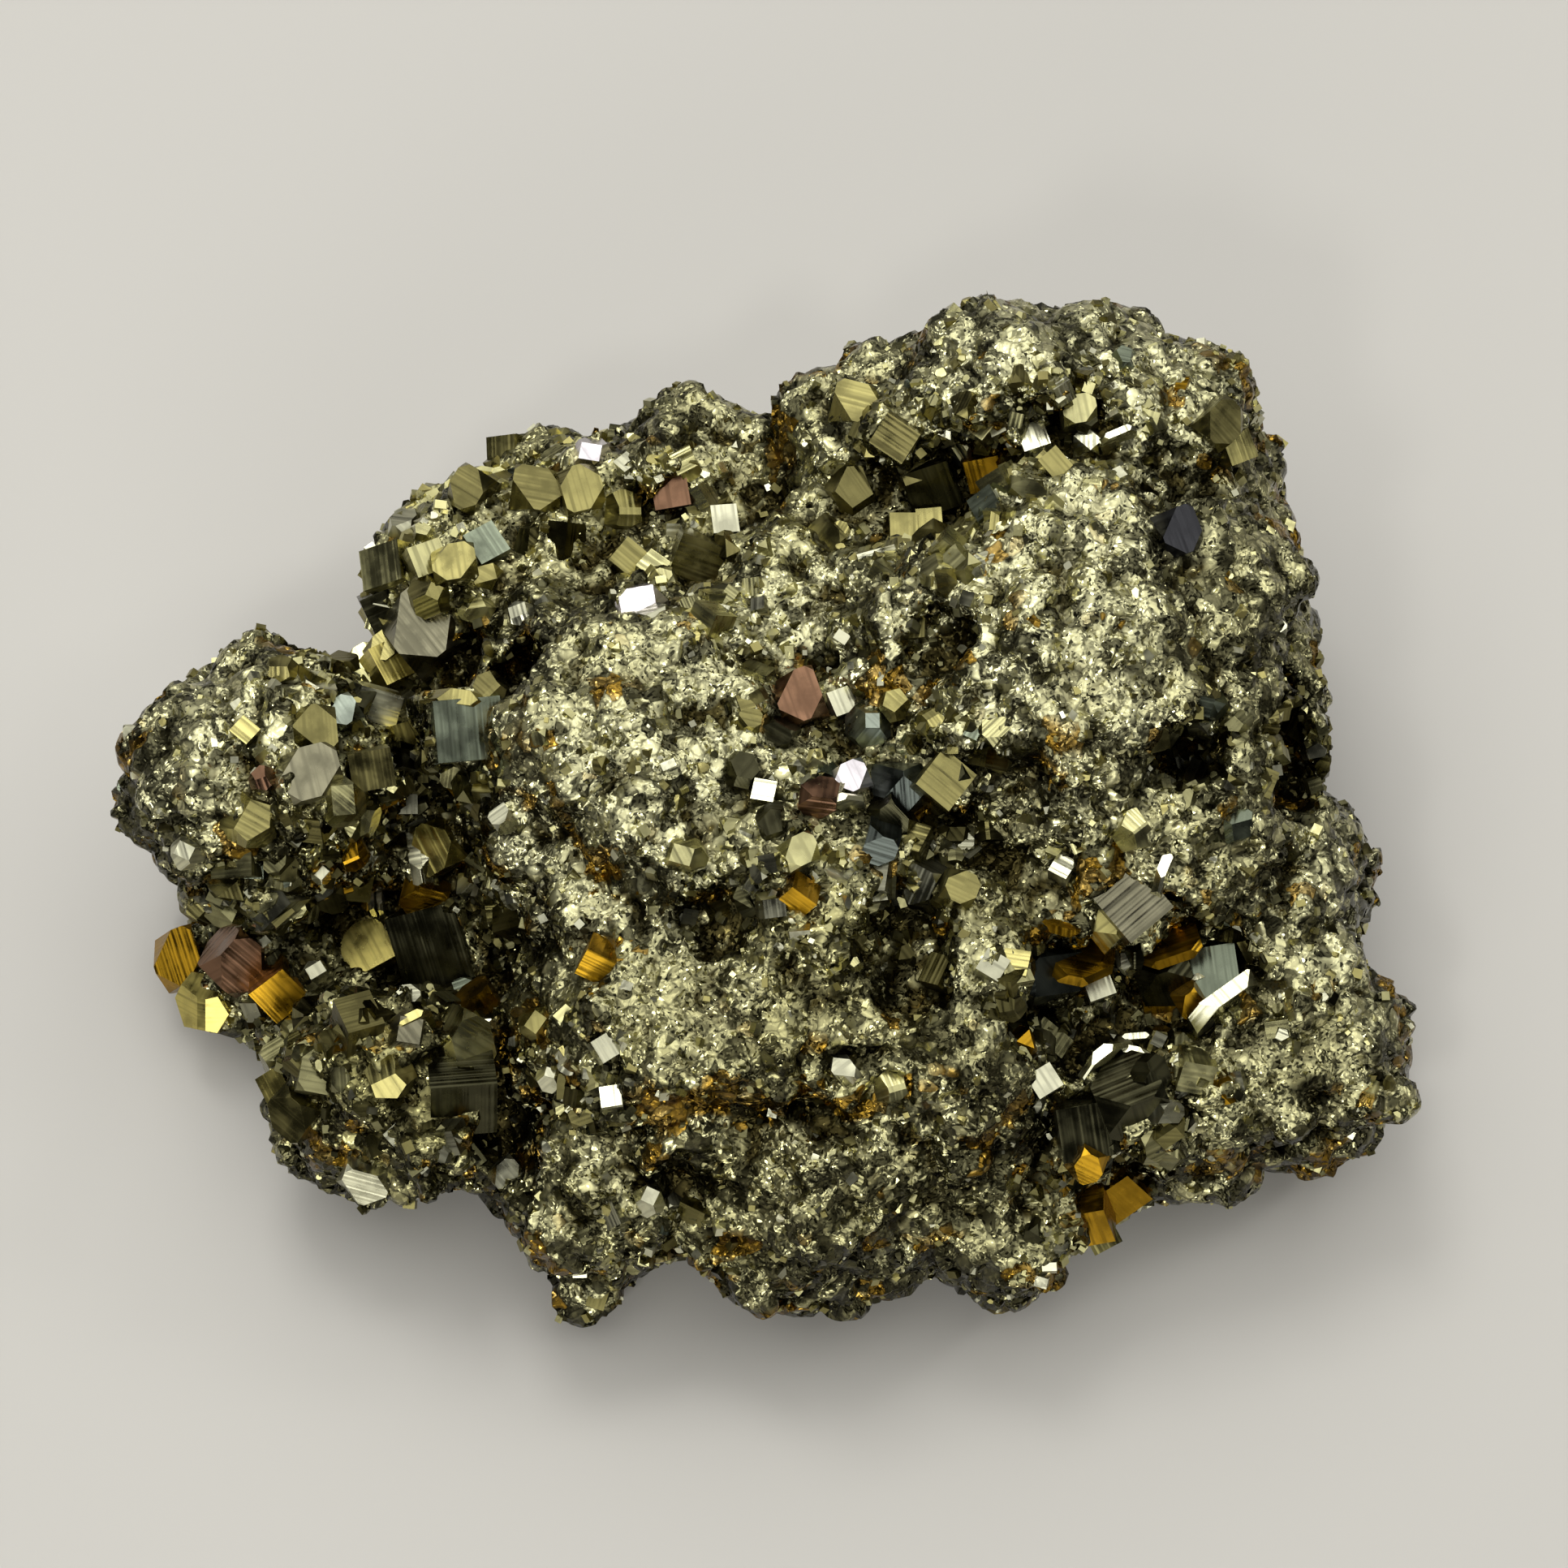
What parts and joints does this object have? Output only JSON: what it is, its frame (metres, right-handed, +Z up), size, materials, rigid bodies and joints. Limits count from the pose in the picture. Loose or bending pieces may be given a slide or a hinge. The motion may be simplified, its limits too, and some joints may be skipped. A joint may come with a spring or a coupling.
{
  "type": "pyrite specimen",
  "caption": "Hand specimen of massive pyrite: one lump of rounded knobs and ledges with crystal-lined pits, lying on its broken underside.",
  "frame": {"origin": "middle of the box's underside, on the surface that the specimen lies on", "axes": "+X along the length, from the round knob towards the ledge; +Y from the front edge to the back edge; +Z up"},
  "size_m": [0.0796, 0.0606, 0.0327],
  "materials": {
    "pyrite": "natural pyrite, brassy grey metallic crystals"
  },
  "bodies": {
    "root": {"pyrite_specimen": "pyrite"}
  },
  "joints": []
}
